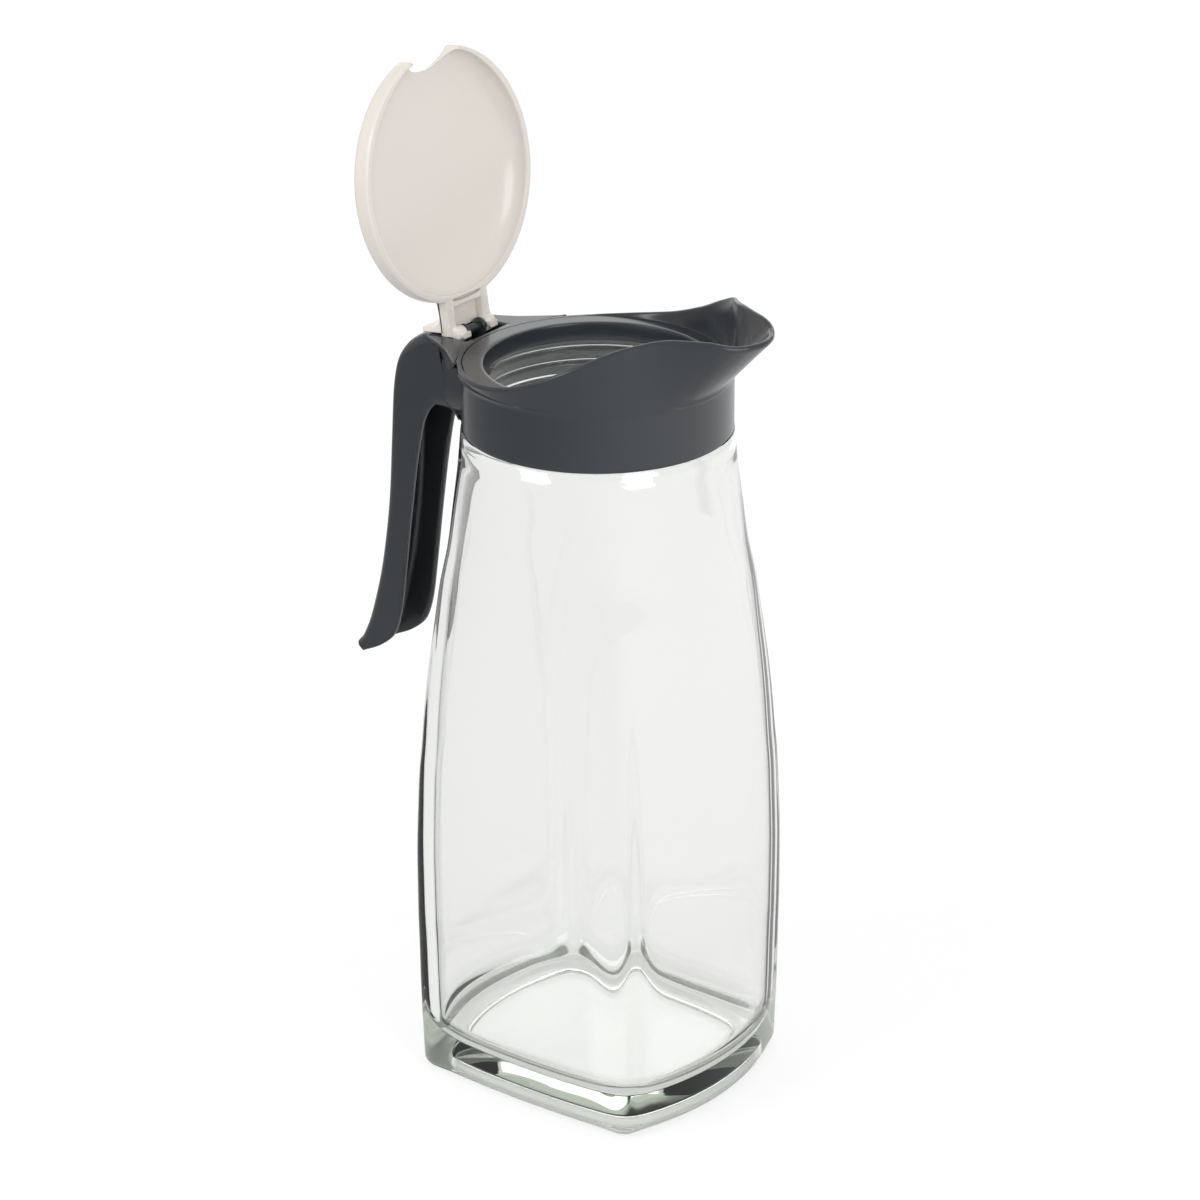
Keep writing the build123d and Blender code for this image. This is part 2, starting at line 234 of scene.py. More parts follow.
def body_angles(count):
    """Angles round the body, closer together at the four corners."""
    u = np.linspace(0, 2 * np.pi, 7201)
    weight = np.ones_like(u)
    for c in (CORNER, np.pi - CORNER, np.pi + CORNER, 2 * np.pi - CORNER):
        weight += 2.2 * np.exp(-(((u - c) / 0.16) ** 2))
    total = np.concatenate([[0], np.cumsum((weight[1:] + weight[:-1]) / 2)])
    total /= total[-1]
    return np.interp(np.arange(count) / count, total, u)


def round_steps(count):
    """Steps of a quarter round as shares of its radius: how far drawn in, and how far up."""
    a = np.linspace(0, np.pi / 2, count)
    return 1 - np.sin(a), 1 - np.cos(a)


def glass_body():
    """Closed ring surface: underside, foot, outer wall, neck and lip, then mouth, inner wall and floor."""
    angle = body_angles(400)
    rings = []

    def ring(z, inset, bead=1.0, scale=1.0, level=None, soft=CORNER_SOFT):
        """The body's outline of one level at a height, drawn in by the inset and shrunk by the scale."""
        x, y = section(angle, z if level is None else level, inset, bead, soft)
        rings.append(np.column_stack([x * scale, y * scale, np.full(len(x), z)]))

    def circle(radius, z):
        """A round ring of the neck."""
        flat = [radius * np.cos(angle), radius * np.sin(angle)]
        rings.append(np.column_stack([*flat, np.full(len(angle), z)]))

    # underside: push-up, then the bearing band, then the rounded foot
    for f in np.linspace(0.02, 1, 24):
        ring(PUSH_UP_Z + PUSH_UP_CROWN * (1 - f**2), PUSH_UP_INSET, 0.0, f, 0.0, PUSH_UP_SOFT)
    for a in np.linspace(0, 1, 6)[1:]:
        drop = PUSH_UP_Z * a * a * (3 - 2 * a)
        inset = PUSH_UP_INSET - (PUSH_UP_INSET - BAND_INSET) * a
        ring(PUSH_UP_Z - drop, inset, 0.0, 1.0, 0.0, PUSH_UP_SOFT)
    for f in np.linspace(0, 1, 9)[1:]:
        ring(0.0, BAND_INSET - (BAND_INSET - FOOT_ROUND) * f, f**2, 1.0, 0.0, PUSH_UP_SOFT - 3.8 * f)
    draw, rise = round_steps(9)
    for d, z in zip(draw[1:], rise[1:]):
        ring(FOOT_ROUND * z, FOOT_ROUND * d, 1.0)
    # outside wall up to the neck
    for z in np.linspace(FOOT_ROUND, SHOULDER_Z, 96)[1:]:
        ring(z, 0.0)
    # shoulder ledge, neck with its thread rings, lip
    for radius, z in ((45.6, 239.6), (44.0, 239.75), (42.8, 240.0)):
        circle(radius, z)
    for z in np.linspace(240.4, NECK_TOP_Z, 46):
        phase = (z - RING_Z) / RING_PITCH
        bump = RING_RISE * np.clip(np.cos(2 * np.pi * phase), 0, 1) ** 2 if 242 < z < 257 else 0
        circle(NECK_R + bump, z)
    for a in np.linspace(0, np.pi, 11):
        circle(NECK_R - LIP_R + LIP_R * np.cos(a), NECK_TOP_Z - 0.1 + LIP_R * np.sin(a))
    # inside: mouth, shoulder, wall, floor
    for z in np.linspace(257.8, MOUTH_FOOT_Z + 1.0, 16):
        circle(MOUTH_R, z)
    for z in np.linspace(MOUTH_FOOT_Z, INNER_SHOULDER_Z, 9):
        t = (MOUTH_FOOT_Z - z) / (MOUTH_FOOT_Z - INNER_SHOULDER_Z)
        circle(MOUTH_R + (INNER_SHOULDER_R - MOUTH_R) * t * t * (3 - 2 * t), z)
    for z in np.linspace(229.5, FLOOR_Z + FLOOR_CORNER, 86):
        ring(z, np.interp(z, WALL_Z, WALL_THICK), 0.0, soft=INNER_SOFT)
    draw, rise = round_steps(14)
    for d, z in zip(draw[::-1][1:], rise[::-1][1:]):
        inset = WALL_THICK[0] + (FLOOR_INSET - WALL_THICK[0]) * d
        ring(FLOOR_Z + FLOOR_CORNER * z, inset, 0.0, soft=INNER_SOFT + (FLOOR_SOFT - INNER_SOFT) * d)
    for f in np.linspace(1, 0.02, 22)[1:]:
        ring(FLOOR_Z + FLOOR_CROWN * (1 - f**2), FLOOR_INSET, 0.0, f, FLOOR_Z, FLOOR_SOFT)
    points, faces = shell_of_rings(np.array(rings))
    body = add_mesh("glass_body_visual", points, faces, GLASS, "glass")
    body.data.materials.append(STIPPLED)
    heights = np.empty(len(body.data.polygons) * 3)
    body.data.polygons.foreach_get("center", heights)
    body.data.polygons.foreach_set("material_index", (heights[2::3] < STIPPLE_TOP_Z * MM).astype(int))
    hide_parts("glass_body")


glass_body()

# collar

DECK_Z = 262.8
CREASE_Z, CREASE_HALF = 259.5, 0.9
SKIRT_R = 46.0
SKIRT_INNER_R = 43.8
SKIRT_EDGE = ((43.8, 240.6), (43.95, 240.1), (44.3, 239.8), (45.3, 239.8), (45.8, 240.0), (46.0, 240.5))
WALL = 2.2
LIP_ROUND = 1.1
SLOPE_HEIGHT = 32.5
OPENING_R, PLUG_R, PLUG_Z = 38.3, 39.4, 256.4
DECK_UNDER_Z = 260.4
# reach of the flare beyond the skirt over the slope height, by angle from the spout
FLARE_TURN = np.array(
    [-5, 0, 5, 10, 12.6, 15.7, 18.7, 21.5, 25.5, 31, 39.1, 50.2, 71.8, 93.5, 115.1, 136.7, 158.4, 180.1]
)
FLARE_REACH = np.array(
    [30.4, 32, 30.4, 26.5, 23.3, 18.2, 13.9, 10.4, 6.6, 3.5, 1.9, 2.1, 5, 10.2, 18.5, 22.9, 23.3, 23]
)
# rise of the rim above the deck, by distance towards the spout
RIM_X = np.array([-34, -20.3, -4.2, 10, 22.5, 36.4, 46.3, 52.4, 56, 60, 62, 64, 66.5, 70, 80])
RIM_RISE = np.array([-0.9, 0.3, 3.1, 8.1, 14.4, 20.8, 22.6, 22.5, 22.4, 21.8, 21.2, 20.6, 20.1, 20, 20])
HINGE = np.array([-53.7, 0.0, 263.1])


def flare_angles(count):
    """Angles round the collar, closer together at the spout."""
    u = np.linspace(-np.pi, np.pi, 7201)
    total = np.cumsum(1 + 5 * np.exp(-((u / 0.35) ** 2)))
    total = (total - total[0]) / (total[-1] - total[0])
    return np.interp(np.arange(count) / count, total, u)


def rim_heights(angle, reach):
    """Height of the rim at each angle, where the sloping wall meets the rim line."""
    z = np.full(len(angle), DECK_Z + 10.0)
    for _ in range(40):
        x = (SKIRT_R + (z - CREASE_Z) / SLOPE_HEIGHT * reach) * np.cos(angle)
        z = 0.5 * z + 0.5 * (DECK_Z + smooth_curve(RIM_X, RIM_RISE, x))
    return z


def collar_shell():
    """Closed ring surface: up the skirt, out along the straight flare, over a round lip, down one wall
    inside it along its own normals, across the deck, down the plug, and back inside the skirt."""
    angle = flare_angles(560)
    reach = smooth_curve(FLARE_TURN, FLARE_REACH, np.degrees(np.abs(angle)))
    turn_rate = np.gradient(np.concatenate([reach[-1:], reach, reach[:1]]))[1:-1]
    before, after = angle[0] * 2 - angle[1], angle[-1] * 2 - angle[-2]
    turn_rate /= np.gradient(np.concatenate([[before], angle, [after]]))[1:-1]
    top = rim_heights(angle, reach)
    out = np.column_stack([np.cos(angle), np.sin(angle), np.zeros(len(angle))])
    side = np.column_stack([-np.sin(angle), np.cos(angle), np.zeros(len(angle))])
    up = np.array([0, 0, 1.0])
    slope = reach / SLOPE_HEIGHT

    def outer(z):
        """Points and outward normals of the straight sloping wall at the given heights."""
        share = (z - CREASE_Z) / SLOPE_HEIGHT
        radius = SKIRT_R + share * reach
        normal = out - (share * turn_rate / radius)[:, None] * side - slope[:, None] * up
        normal /= np.linalg.norm(normal, axis=1)[:, None]
        return radius[:, None] * out + z[:, None] * up, normal

    along = slope[:, None] * out + up
    along /= np.linalg.norm(along, axis=1)[:, None]
    rings = []

    def circle(radius, z):
        """A round ring of the skirt or the plug."""
        rings.append(radius * out + z * up)

    for radius, z in SKIRT_EDGE:
        circle(radius, z)
    for z in np.linspace(241.5, CREASE_Z - CREASE_HALF, 12):
        circle(SKIRT_R, z)
    # soft crease, then the flare
    for f in (-0.6, -0.3, 0.0, 0.3, 0.6, 0.9):
        bend = ((f + CREASE_HALF) / (2 * CREASE_HALF)) ** 2 * 2 * CREASE_HALF
        rings.append((SKIRT_R + bend / SLOPE_HEIGHT * reach)[:, None] * out + (CREASE_Z + f) * up)
    flare_start = CREASE_Z + CREASE_HALF
    shoulder = np.maximum(top - LIP_ROUND / np.sqrt(1 + slope**2), flare_start + 0.5)
    for f in np.linspace(0, 1, 22)[1:]:
        rings.append(outer(flare_start + (shoulder - flare_start) * f)[0])
    edge, normal = outer(shoulder)
    for a in np.linspace(0, np.pi, 13)[1:]:
        point = edge - LIP_ROUND * (1 - np.cos(a)) * normal + LIP_ROUND * np.sin(a) * along
        if a > 1.2:
            point[:, 2] = np.maximum(point[:, 2], DECK_Z)
        rings.append(point)
    foot = DECK_Z - WALL * slope / np.sqrt(1 + slope**2)
    start = np.maximum(shoulder, foot)
    for f in np.linspace(0, 1, 20)[1:]:
        point, normal = outer(start + (foot - start) * f)
        point = point - WALL * normal
        point[:, 2] = np.maximum(point[:, 2], DECK_Z)
        rings.append(point)
    # deck, opening and plug
    inner = rings[-1]
    for f in np.linspace(0, 1, 6)[1:]:
        rings.append(inner + ((OPENING_R + 0.7) * out + DECK_Z * up - inner) * f)
    for radius, z in (
        (OPENING_R + 0.2, DECK_Z - 0.18),
        (OPENING_R, DECK_Z - 0.6),
        (OPENING_R, PLUG_Z + 0.4),
        (OPENING_R + 0.3, PLUG_Z),
        (PLUG_R - 0.3, PLUG_Z),
        (PLUG_R, PLUG_Z + 0.4),
        (PLUG_R, DECK_UNDER_Z),
        (SKIRT_INNER_R, DECK_UNDER_Z),
        (SKIRT_INNER_R, 250.0),
    ):
        circle(radius, z)
    rings = np.array(rings)
    faces = grid_faces(len(rings), len(angle), closed=True)
    return add_mesh("collar_shell", rings.reshape(-1, 3), faces.tolist(), DARK, "collar", sharp=32)


def half_loop(sides, counts):
    """Points along straight or curved sides of half an outline, as many to each side as counted."""
    parts = []
    for side, count in zip(sides, counts):
        side = np.array(side, float)
        run = np.concatenate([[0], np.cumsum(np.hypot(*np.diff(side, axis=0).T))])
        at = np.linspace(0, run[-1], count, endpoint=False)
        if len(side) > 2:
            both = [smooth_curve(run, line, at) for line in side.T]
        else:
            both = [np.interp(at, run, line) for line in side.T]
        parts.append(np.column_stack(both))
    parts.append(np.array(sides[-1][-1:], float))
    return np.vstack(parts)


def whole_loop(half):
    """A plan outline from its half with y above zero, mirrored in the middle plane."""
    return np.vstack([half, (half * [1, -1])[-2:0:-1]])


def draw_in(loop, inset):
    """The outline moved inwards by the inset along its own normals."""
    step = np.roll(loop, -1, 0) - np.roll(loop, 1, 0)
    step /= np.linalg.norm(step, axis=1)[:, None]
    return loop - inset * np.column_stack([step[:, 1], -step[:, 0]])


SADDLE_FLANK = [
    (-36.6, 31.2),
    (-44.1, 24.9),
    (-49.5, 20.6),
    (-54.5, 17.8),
    (-59.5, 15.3),
    (-64.0, 11.8),
    (-67.0, 7.5),
]
POCKET_FRONT, POCKET_BACK, POCKET_HALF = -47.2, -59.6, 10.6
POCKET_FLOOR_Z = 256.6
SADDLE_FOOT_Z = 240.5
SADDLE_EDGE = (
    (0.35, 0.03),
    (0.15, 0.15),
    (0.0, 0.45),
    (0.1, 0.8),
    (0.8, 1.4),
    (1.7, 2.2),
    (2.8, 3.4),
    (3.7, 4.8),
)
SADDLE_SIDE = ((4.4, 256.2), (4.9, 254.0), (5.4, 251.5), (6.2, 248.5), (7.6, 245.0), (9.6, 241.0))


def saddle():
    """Closed surface from the pocket floor up its walls and over the flat top, whose edge overhangs
    flanks that curve in to the handle; below the top it goes no deeper than the wall of the skirt."""
    counts = (10, 34, 12)
    front_side = [(-40.5, 0), SADDLE_FLANK[0]]
    back_side = [SADDLE_FLANK[-1], (-67.5, 0)]
    outline = whole_loop(half_loop([front_side, SADDLE_FLANK, back_side], counts))
    front_corner = (POCKET_FRONT, POCKET_HALF)
    back_corner = (POCKET_BACK, POCKET_HALF)
    pocket_sides = [
        [(POCKET_FRONT, 0), front_corner],
        [front_corner, back_corner],
        [back_corner, (POCKET_BACK, 0)],
    ]
    pocket = whole_loop(half_loop(pocket_sides, counts))
    middle = np.array([(POCKET_FRONT + POCKET_BACK) / 2, 0.0])
    rings = []

    def ring(loop, z, hug=True, sink=0.0):
        """A plan loop at a height, its back sunk a little, pushed out to the skirt's wall if it hugs."""
        loop = np.array(loop)
        if hug:
            radius = np.hypot(*loop.T)
            loop = loop * (np.maximum(radius, SKIRT_R - 0.8) / radius)[:, None]
        height = z - sink * np.clip((-58.5 - loop[:, 0]) / 8.5, 0, 1) ** 2
        rings.append(np.column_stack([loop, height]))

    for f in (0.3, 0.65, 0.98):
        ring(middle + (pocket - middle) * f, POCKET_FLOOR_Z)
    for z in (256.7, 257.2, 259.5, 262.2, 262.62):
        ring(pocket, z)
    start = middle + (pocket - middle) * 1.02
    top = draw_in(outline, 0.5)
    for f in np.linspace(0, 1, 9):
        ring(start + (top - start) * f, DECK_Z - 0.02, False, 1.7)
    for inset, drop in SADDLE_EDGE:
        ring(draw_in(outline, inset), DECK_Z - drop, drop > 0.4, 1.7)
    for inset, z in SADDLE_SIDE:
        narrowing = [1, 1 - 0.06 * max(inset - 5.4, 0)]
        ring(draw_in(outline, min(inset, 6.0)) * narrowing, z)
    for f in (0.35, 0.1):
        ring(middle + (outline - middle) * f, SADDLE_FOOT_Z, False)
    points, faces = shell_of_rings(np.array(rings))
    add_mesh("saddle", points, faces, DARK, "collar", sharp=60)


GRIP_HALF, GRIP_ROUND = 10.0, 4.5
# back and inside lines of the handle in the side view, pair by pair from the saddle to the tip
HANDLE_BACK = [
    (-52.3, 255.6),
    (-60.2, 255.9),
    (-61.4, 262.2),
    (-65.5, 261.8),
    (-70.6, 259.6),
    (-76.0, 255.6),
    (-80.2, 249.3),
    (-82.4, 239.5),
    (-83.9, 222),
    (-85.8, 197.4),
    (-89.6, 171.9),
    (-93.0, 158),
    (-96.6, 146.6),
    (-99.2, 141),
    (-101, 137.8),
]
HANDLE_INSIDE = [
    (-52.3, 232.8),
    (-53.8, 234.9),
    (-55.5, 235.9),
    (-57.2, 236.5),
    (-61.7, 236.4),
    (-65.2, 233.9),
    (-68.1, 228.9),
    (-69.6, 223.8),
    (-71.9, 212),
    (-74.9, 192.3),
    (-78.5, 166),
    (-80.3, 154.5),
    (-83.5, 145),
    (-89.5, 139.2),
    (-97.6, 135.0),
]


def grip_section(depth):
    """Closed outline of the handle's channel, as across and depth from its back: rounded outer
    corners and walls of one thickness, open towards the jug."""
    bend = min(GRIP_ROUND, 0.6 * depth)
    inner = bend * 0.45
    floor = min(WALL, 0.55 * depth)
    a = np.linspace(0, np.pi / 2, 8)
    edge = 0.4
    flat = np.column_stack([np.full(6, GRIP_HALF), np.linspace(depth - edge, bend, 6, endpoint=False)])
    turned = np.column_stack([GRIP_HALF - bend + bend * np.cos(a), bend - bend * np.sin(a)])
    outer = np.vstack([[(GRIP_HALF - edge, depth)], flat, turned])
    c = GRIP_HALF - WALL
    corner = np.column_stack([c - inner + inner * np.cos(a), floor + inner - inner * np.sin(a)])
    inner_flat = np.column_stack([np.full(6, c), np.linspace(floor + inner, depth - edge, 7)[1:]])
    inside = np.vstack([corner[::-1], inner_flat, [(c + edge, depth)]])
    mirror = np.array([-1, 1])
    return np.vstack([outer, (outer * mirror)[::-1], (inside * mirror)[::-1], inside])


def handle():
    """Channel section carried from the saddle over the crown and down to the tip. Each section spans
    from the back line to the inside line, both smooth curves through the points seen in the side view."""
    keys = np.arange(len(HANDLE_BACK), dtype=float)
    at = np.linspace(0, keys[-1], 110)
    lines = [
        np.column_stack([smooth_curve(keys, along, at) for along in np.array(line, float).T])
        for line in (HANDLE_BACK, HANDLE_INSIDE)
    ]
    rings = []
    for start, end in zip(*lines):
        depth = np.hypot(*(end - start))
        across, down = grip_section(depth).T
        x, z = (start + (end - start) / depth * down[:, None]).T
        rings.append(np.column_stack([x, across, z]))
    rings = np.array(rings)
    rows, cols = rings.shape[:2]
    faces = grid_faces(rows, cols).tolist()
    caps = [list(range(cols))[::-1], list(range((rows - 1) * cols, rows * cols))]
    add_mesh("handle", rings.reshape(-1, 3), faces + caps, DARK, "collar", sharp=50)


def flat_bar(name, outline, side_from, side_to, edge, material, body, place=None):
    """A flat outline carried straight across from one side to the other, its edges drawn in a little."""
    loop = np.array(outline, float)
    rings = []
    for side, inset in ((side_from, edge), (side_from + edge, 0), (side_to - edge, 0), (side_to, edge)):
        ring = draw_in(loop, inset) if inset else loop
        rings.append(np.column_stack([ring[:, 0], np.full(len(loop), side), ring[:, 1]]))
    rings = np.array(rings)
    if place is not None:
        rings = place(rings)
    rows, cols = rings.shape[:2]
    faces = grid_faces(rows, cols).tolist()
    caps = [list(range(cols))[::-1], list(range((rows - 1) * cols, rows * cols))]
    add_mesh(name, rings.reshape(-1, 3), faces + caps, material, body, sharp=50)


def circle_outline(centre, radius, count=40, start=0.0, end=360.0):
    """Points of a circle, or of a part of it when the end is less than a full turn away."""
    a = np.radians(np.linspace(start, end, count, endpoint=end - start < 360))
    return np.column_stack([centre[0] + radius * np.cos(a), centre[1] + radius * np.sin(a)])


ROD_R, ROD_HALF, POST_R = 1.5, 9.6, 2.8
POST_INNER, POST_OUTER = 3.4, 4.9


def hinge_seat():
    """The rod across the pocket and the two posts that carry it, round over the rod."""
    x, z = HINGE[0], HINGE[2]
    flat_bar("hinge_rod", circle_outline((x, z), ROD_R), -ROD_HALF, ROD_HALF, 0.3, DARK, "collar")
    foot = [(x - POST_R, PLUG_Z), (x + POST_R, PLUG_Z)]
    post = np.vstack([foot, circle_outline((x, z), POST_R, 20, 0.0, 180.0)])
    for side in (-1, 1):
        low, high = sorted((POST_INNER * side, POST_OUTER * side))
        flat_bar("hinge_post_%s" % ("near" if side < 0 else "far"), post, low, high, 0.3, DARK, "collar")


WEB_SIDE = [(-62, 238), (-53, 230.5), (-44.9, 230.5), (-44.9, 258), (-62, 258)]
WEB_HALF = 7.0


def web():
    """The plate that ties the handle to the skirt, between the side walls."""
    flat_bar("handle_web", WEB_SIDE, -WEB_HALF, WEB_HALF, 0.5, DARK, "collar")


shell = collar_shell()
web()
saddle()
handle()
hinge_seat()
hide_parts("collar")


# lid

LEAN = radians(7.9)
DISH_CENTRE = 53.85
DISH_R = 43.6
DOME_TOP, DOME_FALL = 12.8, 6.5
DOME_ROUND, EDGE_ROUND, SEAT = 1.5, 0.7, 0.9
BOWL_DEPTH, BOWL_POWER = 10.4, 2.5
EDGE_WALL, NOTCH_THINNING = 2.7, 1.2
NOTCH_CENTRE, NOTCH_R = 52.1, 16.7
NOTCH_HALF = np.arccos((DISH_R**2 + NOTCH_CENTRE**2 - NOTCH_R**2) / (2 * DISH_R * NOTCH_CENTRE))


def on_lid(points):
    """Lid points, along the lid, across, and up through its dome, placed on the wide-open lid."""
    u, y, v = points[..., 0], points[..., 1], points[..., 2]
    x = HINGE[0] - np.sin(LEAN) * u - np.cos(LEAN) * v
    z = HINGE[2] + np.cos(LEAN) * u - np.sin(LEAN) * v
    return np.stack([x, y, z], -1)


def lid_dish():
    """Closed bowl of rings round the dish axis: out over the dome, a parabola, down the skirt, round
    the edge and back over the bowl, a soft superellipse. Where the notch circle cuts the dish the
    rings end on it."""
    u = np.linspace(-np.pi, np.pi, 14401)
    total = np.cumsum(1 + 9 * np.exp(-(((np.abs(u) - NOTCH_HALF) / 0.05) ** 2)))
    total = (total - total[0]) / (total[-1] - total[0])
    angle = np.interp(np.arange(420) / 420, total, u)
    across = np.maximum(NOTCH_R**2 - (NOTCH_CENTRE * np.sin(angle)) ** 2, 0)
    reach = NOTCH_CENTRE * np.cos(angle) - np.sqrt(across)
    uncut = 99.0
    limit = np.where(np.abs(angle) < NOTCH_HALF, reach, uncut)
    edge = EDGE_WALL - NOTCH_THINNING * np.exp(-(((np.abs(angle) - NOTCH_HALF) / 0.35) ** 2))
    inner = DISH_R - edge

    def dome(r):
        """Height of the outside of the dish, a parabola that falls towards the edge."""
        return DOME_TOP - DOME_FALL * (r / DISH_R) ** 2

    def hollow(r):
        """Height of the bowl, a superellipse from its middle to its edge."""
        return SEAT + BOWL_DEPTH * np.sqrt(1 - np.clip(r / inner, 0, 1) ** BOWL_POWER)

    rings = []

    def ring(r, v):
        """A ring of the dish at a radius and height, stopped at the notch circle."""
        r = np.broadcast_to(r, angle.shape)
        v = np.broadcast_to(v, angle.shape)
        cut = r > limit
        low, high = hollow(limit), dome(limit)
        r = np.where(cut, limit, r)
        v = np.where(cut, np.clip(v, low, np.maximum(high, low)), v)
        points = np.column_stack([DISH_CENTRE + r * np.cos(angle), r * np.sin(angle), v])
        rings.append(on_lid(points))

    flat_r = DISH_R - DOME_ROUND
    for r in np.linspace(0.8, flat_r, 30):
        ring(r, dome(r))
    side_top = dome(flat_r) - DOME_ROUND
    for a in np.linspace(0, np.pi / 2, 7)[1:]:
        ring(flat_r + DOME_ROUND * np.sin(a), side_top + DOME_ROUND * np.cos(a))
    side_foot = 1.0
    for v in np.linspace(side_top, side_foot, 6)[1:]:
        ring(DISH_R, v)
    for a in np.linspace(0, np.pi / 2, 6)[1:]:
        ring(DISH_R - EDGE_ROUND + EDGE_ROUND * np.cos(a), side_foot - EDGE_ROUND * np.sin(a))
    lip = 0.6
    for a in np.linspace(0, np.pi / 2, 6):
        ring(inner + lip - lip * np.sin(a), SEAT - lip * np.cos(a))
    for a in np.linspace(0, np.pi / 2, 46)[1:]:
        share = max(np.cos(a), 0.02)
        ring(inner * share, hollow(inner * share))
    points, faces = shell_of_rings(np.array(rings))
    dish = add_mesh("lid_dish", points, faces, WHITE, "lid", sharp=55)
    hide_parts("lid")


ARM_END, ARM_HALF = 12.3, 8.0
EYE_R = 2.9
FINGER_HALF = 1.0
TAB_HALF = 11.2


def lid_hinge():
    """Two legs with eyes on the rod, the plate between them, the thumb tab and the two fingers."""
    leg = [(-0.2, 0.0), (ARM_END, 0.3), (ARM_END, 5.0), (8.0, 4.4), (-0.2, 4.4)]
    tab = [(5.6, 4.6), (4.0, 5.3), (3.0, 7.0), (2.8, 12.3), (0.9, 12.3)]
    plate = [(0.9, 3.2), (ARM_END, 3.2), (ARM_END, 4.6), *tab]
    arm = [(9.4, 0.3), (ARM_END, 0.3), (ARM_END, 5.0), (9.4, 4.6)]
    finger = [(-FINGER_HALF, -4.2), (FINGER_HALF, -4.2), (FINGER_HALF, 0.0), (-FINGER_HALF, 0.0)]
    eye = circle_outline((0, 0), EYE_R)
    for side, name in ((-1, "near"), (1, "far")):
        for part, outline, reach, edge in (
            ("leg", leg, (7.2, 11.2), 0.4),
            ("eye", eye, (5.3, 10.3), 0.3),
            ("finger", finger, (5.3, 9.3), 0.3),
        ):
            low, high = sorted(side * end for end in reach)
            flat_bar("lid_%s_%s" % (part, name), outline, low, high, edge, WHITE, "lid", on_lid)
    flat_bar("thumb_tab", plate, -TAB_HALF, TAB_HALF, 0.4, WHITE, "lid", on_lid)
    flat_bar("lid_arm", arm, -ARM_HALF, ARM_HALF, 0.4, WHITE, "lid", on_lid)


lid_dish()
lid_hinge()


# stage

# the floor, in metres: its size, and how far it lies below the jug
FLOOR_SIZE, FLOOR_DROP = 12.0, 0.0003
# levels for plain rays, for what the camera sees straight, and for what it sees through the glass
FLOOR_LEVELS = (0.3, 0.76, 0.65)
WORLD_LEVELS = (0.6, 1.0, 0.95)
# the floor as surfaces mirror it, from dim on one side to bright on the other
MIRRORED_SIDE = (0.8, 0.6, 0.0)
MIRRORED_SPAN = (-0.6, 0.6)
MIRRORED_LEVELS = (0.1, 0.9)


def plane(name, size, z, material):
    """A square of floor that belongs to the stage."""
    mesh = bpy.data.meshes.new(name)
    s = size / 2
    mesh.from_pydata([(-s, -s, z), (s, -s, z), (s, s, z), (-s, s, z)], [], [(0, 1, 2, 3)])
    obj = bpy.data.objects.new(name, mesh)
    bpy.context.scene.collection.objects.link(obj)
    mesh.materials.append(material)


def ray_level(tree, plain, looked_at, through_glass):
    """A strength with one level for most rays, one for what the camera sees straight, and one for
    what it sees through the glass."""
    path = tree.nodes.new("ShaderNodeLightPath")
    straight = tree.nodes.new("ShaderNodeMath")
    straight.operation = "MULTIPLY_ADD"
    tree.links.new(path.outputs["Is Camera Ray"], straight.inputs[0])
    straight.inputs[1].default_value = looked_at - plain
    straight.inputs[2].default_value = plain
    through = tree.nodes.new("ShaderNodeMath")
    through.operation = "MULTIPLY_ADD"
    tree.links.new(path.outputs["Is Transmission Ray"], through.inputs[0])
    through.inputs[1].default_value = through_glass - plain
    tree.links.new(straight.outputs[0], through.inputs[2])
    return through.outputs[0]


def mirrored_level(tree):
    """The level that a mirrored floor has, rising from one side of the jug to the other."""
    place = tree.nodes.new("ShaderNodeTexCoord")
    across = tree.nodes.new("ShaderNodeVectorMath")
    across.operation = "DOT_PRODUCT"
    across.inputs[1].default_value = MIRRORED_SIDE
    tree.links.new(place.outputs["Object"], across.inputs[0])
    slope = tree.nodes.new("ShaderNodeMapRange")
    slope.inputs["From Min"].default_value, slope.inputs["From Max"].default_value = MIRRORED_SPAN
    slope.inputs["To Min"].default_value, slope.inputs["To Max"].default_value = MIRRORED_LEVELS
    tree.links.new(across.outputs["Value"], slope.inputs["Value"])
    return slope.outputs["Result"]


def mirrored_rays(tree):
    """1 for rays that were mirrored by a surface, and 0 for all others, also those through the glass."""
    path = tree.nodes.new("ShaderNodeLightPath")
    mirrored = tree.nodes.new("ShaderNodeMath")
    mirrored.operation = "SUBTRACT"
    mirrored.use_clamp = True
    tree.links.new(path.outputs["Is Glossy Ray"], mirrored.inputs[0])
    tree.links.new(path.outputs["Is Transmission Ray"], mirrored.inputs[1])
    return mirrored.outputs[0]


def floor_material():
    """A glow and a plain grey together: white where it is looked at, with a little of the object's
    shadow kept, and graded from side to side where a surface mirrors it."""
    material = bpy.data.materials.new("floor")
    material.use_nodes = True
    tree = material.node_tree
    tree.nodes.clear()
    out = tree.nodes.new("ShaderNodeOutputMaterial")
    add = tree.nodes.new("ShaderNodeAddShader")
    diffuse = tree.nodes.new("ShaderNodeBsdfDiffuse")
    diffuse.inputs["Color"].default_value = (0.3, 0.3, 0.3, 1)
    emit = tree.nodes.new("ShaderNodeEmission")
    mixed = tree.nodes.new("ShaderNodeMix")
    tree.links.new(mirrored_rays(tree), mixed.inputs["Factor"])
    tree.links.new(ray_level(tree, *FLOOR_LEVELS), mixed.inputs["A"])
    tree.links.new(mirrored_level(tree), mixed.inputs["B"])
    tree.links.new(mixed.outputs["Result"], emit.inputs["Strength"])
    tree.links.new(emit.outputs[0], add.inputs[0])
    tree.links.new(diffuse.outputs[0], add.inputs[1])
    tree.links.new(add.outputs[0], out.inputs["Surface"])
    return material


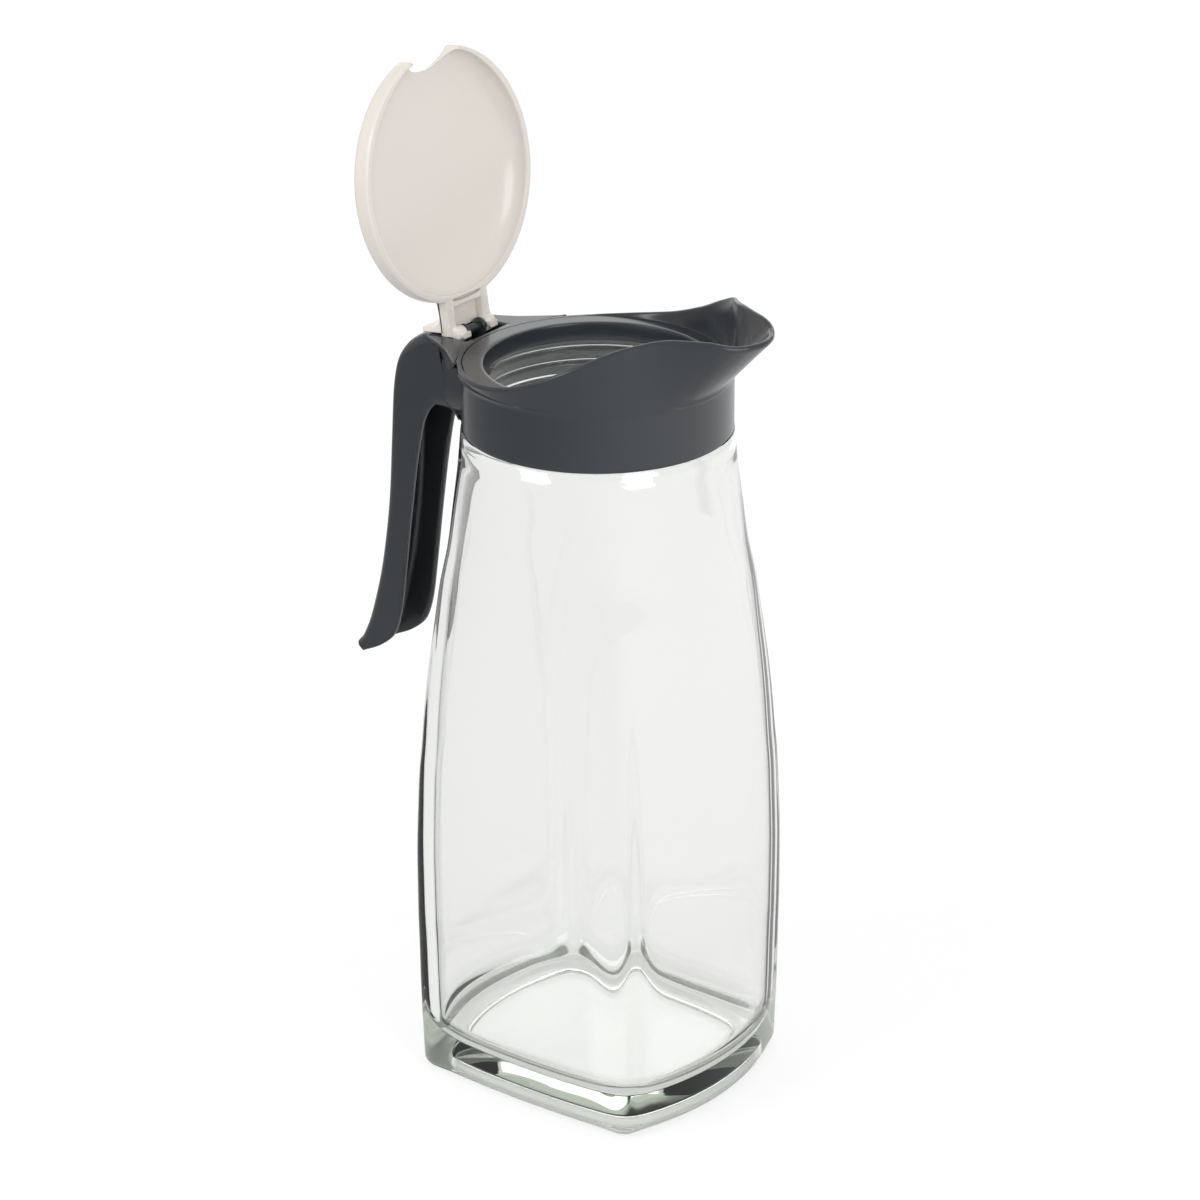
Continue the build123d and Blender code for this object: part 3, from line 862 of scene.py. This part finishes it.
def white_world():
    """An even surround, white where the camera looks at it and dimmer where it lights the jug."""
    world = bpy.data.worlds.new("world")
    bpy.context.scene.world = world
    world.use_nodes = True
    tree = world.node_tree
    tree.nodes.clear()
    out = tree.nodes.new("ShaderNodeOutputWorld")
    back = tree.nodes.new("ShaderNodeBackground")
    tree.links.new(ray_level(tree, *WORLD_LEVELS), back.inputs["Strength"])
    back.inputs["Color"].default_value = (1, 1, 1, 1)
    tree.links.new(back.outputs[0], out.inputs["Surface"])


def softbox(name, place, aim, width, height, level):
    """A soft lamp whose face is as bright as the level, where 1 is white."""
    light = bpy.data.lights.new(name, "AREA")
    light.shape = "RECTANGLE"
    light.size = width
    light.size_y = height
    light.energy = level * np.pi * width * height
    obj = bpy.data.objects.new(name, light)
    bpy.context.scene.collection.objects.link(obj)
    obj.location = place
    direction = Vector(aim) - Vector(place)
    obj.rotation_euler = direction.to_track_quat("-Z", "Y").to_euler()
    obj.visible_camera = False


plane("floor", FLOOR_SIZE, -FLOOR_DROP, floor_material())
white_world()
softbox("key", (-0.7, -1.6, 1.4), (0, 0, 0.2), 0.9, 0.7, 6.0)
softbox("side", (1.7, -0.5, 1.0), (0, 0, 0.25), 0.9, 1.1, 4.0)
softbox("back", (-1.3, 1.7, 0.95), (0, 0, 0.25), 2.4, 1.3, 1.0)

# camera, solved from the photo

SENSOR_WIDTH, LENS = 36.0, 129.182
CAMERA_PLACE = Vector((0.81400, -1.08679, 0.75376))
CAMERA_RIGHT = Vector((0.80152, 0.59796, -0.00356))
CAMERA_UP = Vector((-0.23159, 0.31591, 0.92009))


def photo_camera():
    """The camera of the photo, made square from its right and up directions."""
    data = bpy.data.cameras.new("camera")
    data.sensor_width = SENSOR_WIDTH
    data.sensor_fit = "HORIZONTAL"
    data.lens = LENS
    data.clip_start = 0.01
    data.clip_end = 50
    camera = bpy.data.objects.new("camera", data)
    bpy.context.scene.collection.objects.link(camera)
    right = CAMERA_RIGHT.normalized()
    back = right.cross(CAMERA_UP).normalized()
    up = back.cross(right)
    turn = Matrix((right, up, back)).transposed()
    camera.matrix_world = Matrix.Translation(CAMERA_PLACE) @ turn.to_4x4()
    return camera


bpy.context.scene.camera = photo_camera()
bpy.context.scene.view_settings.view_transform = "Standard"
